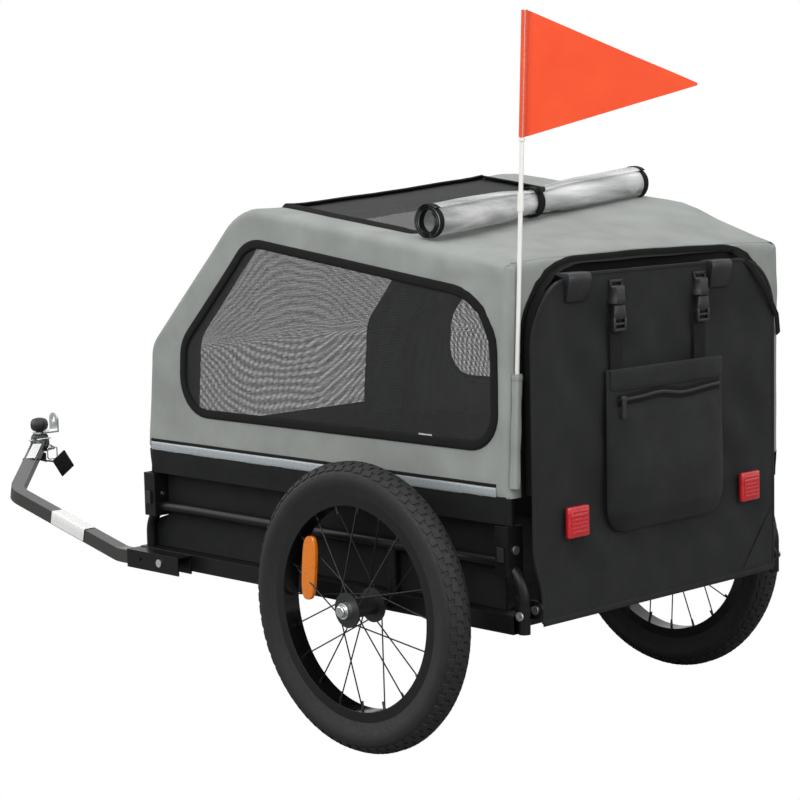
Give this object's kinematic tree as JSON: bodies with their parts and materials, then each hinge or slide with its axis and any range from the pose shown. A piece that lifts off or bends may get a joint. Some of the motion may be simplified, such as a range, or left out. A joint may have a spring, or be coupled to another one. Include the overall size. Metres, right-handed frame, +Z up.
{
  "type": "dog bike trailer",
  "caption": "Two-wheeled dog trailer for a bicycle with a folding cloth cabin, mesh windows, drop-down rear door, bent tow arm and safety flag.",
  "frame": {"origin": "on the ground under the middle of the whole trailer's outline", "axes": "+Z up, -Y forwards along the tow arm, +X to the trailer's left side"},
  "size_m": [0.7444, 1.471, 0.9902],
  "materials": {
    "black_paint": "satin powder coat",
    "grey_paint": "satin powder coat",
    "zinc": "zinc plated",
    "chrome": "polished",
    "bearing_steel": "ground",
    "black_plastic": "moulded",
    "tyre_rubber": "matt",
    "black_rim": "black anodised",
    "black_spoke": "black",
    "amber_reflector": "prismatic",
    "red_reflector": "prismatic",
    "grey_cloth": "coated polyester",
    "black_cloth": "coated polyester",
    "black_mesh": "knitted mesh",
    "black_webbing": "woven",
    "floor_board": "cloth covered board",
    "clear_vinyl": "clear film",
    "white_fibreglass": "pultruded",
    "orange_cloth": "thin nylon",
    "zip_black": "painted die casting"
  },
  "bodies": {
    "chassis": {"side_rails": "black_paint", "cross_tubes": "black_paint", "wheel_axles": "zinc", "floor_panel": "floor_board", "lower_tub": "black_cloth", "frame_bolts": "zinc", "tow_sleeve": "black_paint", "left_side_loop": "black_paint", "right_side_loop": "black_paint", "left_front_bracket": "black_paint", "left_rear_bracket": "black_paint", "right_front_bracket": "black_paint", "right_rear_bracket": "black_paint", "roof_cloth": "grey_cloth", "roof_mesh": "black_mesh", "front_cloth": "grey_cloth", "front_mesh": "black_mesh", "rain_roll": "clear_vinyl"},
    "left_arch": {"left_arch_tube": "black_paint", "left_side_panel": "grey_cloth", "left_window_mesh": "black_mesh", "flag_pocket": "grey_cloth"},
    "right_arch": {"right_arch_tube": "black_paint", "right_side_panel": "grey_cloth", "right_window_mesh": "black_mesh"},
    "rear_door": {"door_frame": "black_paint", "door_panel": "black_cloth", "door_tabs": "black_cloth", "red_reflectors": "red_reflector", "upper_buckles": "black_plastic"},
    "hung_bag": {"bag": "black_cloth", "bag_straps": "black_webbing", "lower_buckles": "black_plastic"},
    "zipper": {"zip_pull": "zip_black"},
    "left_wheel": {"left_tyre": "tyre_rubber", "left_rim": "black_rim", "left_hub": "black_plastic", "left_hub_bearings": "bearing_steel", "left_spokes": "black_spoke", "left_spoke_reflector": "amber_reflector"},
    "right_wheel": {"right_tyre": "tyre_rubber", "right_rim": "black_rim", "right_hub": "black_plastic", "right_hub_bearings": "bearing_steel", "right_spokes": "black_spoke", "right_spoke_reflector": "amber_reflector"},
    "left_release": {"left_release_button": "chrome"},
    "right_release": {"right_release_button": "chrome"},
    "flag": {"flag_pole": "white_fibreglass"},
    "flag_cloth": {"pennant": "orange_cloth"},
    "tow": {"tow_arm": "grey_paint", "hitch_head": "black_plastic", "safety_strap": "black_webbing"},
    "hitch_swivel": {"hitch_plate": "zinc"},
    "pull_pin": {"hitch_pin": "zinc"},
    "bail": {"pin_clasp": "zinc"},
    "left_front_lock": {"left_front_lock_button": "black_plastic"},
    "left_rear_lock": {"left_rear_lock_button": "black_plastic"},
    "right_front_lock": {"right_front_lock_button": "black_plastic"},
    "right_rear_lock": {"right_rear_lock_button": "black_plastic"}
  },
  "joints": [
    {"name": "left_arch_fold", "type": "hinge", "parent": "chassis", "child": "left_arch", "pos_m": [0.269, 0.34651, 0.297], "axis": [0, -1, 0], "range_deg": [0, 90], "deforming": ["roof_cloth", "roof_mesh", "front_cloth", "front_mesh", "rain_roll", "lower_tub", "pennant"]},
    {"name": "right_arch_fold", "type": "hinge", "parent": "chassis", "child": "right_arch", "pos_m": [-0.269, 0.34651, 0.297], "axis": [0, 1, 0], "range_deg": [0, 75.6], "deforming": ["roof_cloth", "roof_mesh", "front_cloth", "front_mesh", "rain_roll", "lower_tub"]},
    {"name": "rear_door_drop", "type": "hinge", "parent": "chassis", "child": "rear_door", "pos_m": [0, 0.5955, 0.218], "axis": [-1, 0, 0], "range_deg": [0, 110]},
    {"name": "left_wheel_spin", "type": "hinge", "parent": "chassis", "child": "left_wheel", "pos_m": [0.333, 0.34651, 0.2], "axis": [1, 0, 0], "continuous": true},
    {"name": "right_wheel_spin", "type": "hinge", "parent": "chassis", "child": "right_wheel", "pos_m": [-0.333, 0.34651, 0.2], "axis": [1, 0, 0], "continuous": true},
    {"name": "left_release_press", "type": "slide", "parent": "chassis", "child": "left_release", "axis": [-1, 0, 0], "range_m": [0, 0.0035], "stiffness_N_per_m": 800},
    {"name": "right_release_press", "type": "slide", "parent": "chassis", "child": "right_release", "axis": [1, 0, 0], "range_m": [0, 0.0035], "stiffness_N_per_m": 800},
    {"name": "tow_arm_fold", "type": "hinge", "parent": "chassis", "child": "tow", "pos_m": [0.2949, -0.12349, 0.198], "axis": [1, 0, 0], "range_deg": [0, 180]},
    {"name": "hitch_plate_swivel", "type": "hinge", "parent": "tow", "child": "hitch_swivel", "pos_m": [0.1, -0.71949, 0.3235], "axis": [0, 0, 1], "range_deg": [-50, 50]},
    {"name": "hitch_pin_pull", "type": "slide", "parent": "tow", "child": "pull_pin", "axis": [0, 1, 0], "range_m": [0, 0.036]},
    {"name": "pin_clasp_swing", "type": "hinge", "parent": "pull_pin", "child": "bail", "pos_m": [0.092, -0.6948, 0.30025], "axis": [1, 0, 0], "range_deg": [0, 170]},
    {"name": "flag_lift", "type": "slide", "parent": "left_arch", "child": "flag", "axis": [-0.0523, 0, 0.9986], "range_m": [0, 0.145]},
    {"name": "pennant_turn", "type": "hinge", "parent": "flag", "child": "flag_cloth", "pos_m": [0.274, 0.581, 0.382], "axis": [-0.0523, 0, 0.9986], "continuous": true},
    {"name": "bag_unclip", "type": "slide", "parent": "rear_door", "child": "hung_bag", "axis": [0, 0, -1], "range_m": [0, 0.03]},
    {"name": "zip_slide", "type": "slide", "parent": "hung_bag", "child": "zipper", "axis": [-1, 0, 0], "range_m": [0, 0.191]},
    {"name": "left_front_lock_press", "type": "slide", "parent": "chassis", "child": "left_front_lock", "axis": [-1, 0, 0], "range_m": [0, 0.003], "stiffness_N_per_m": 600},
    {"name": "left_rear_lock_press", "type": "slide", "parent": "chassis", "child": "left_rear_lock", "axis": [-1, 0, 0], "range_m": [0, 0.003], "stiffness_N_per_m": 600},
    {"name": "right_front_lock_press", "type": "slide", "parent": "chassis", "child": "right_front_lock", "axis": [1, 0, 0], "range_m": [0, 0.003], "stiffness_N_per_m": 600},
    {"name": "right_rear_lock_press", "type": "slide", "parent": "chassis", "child": "right_rear_lock", "axis": [1, 0, 0], "range_m": [0, 0.003], "stiffness_N_per_m": 600}
  ]
}
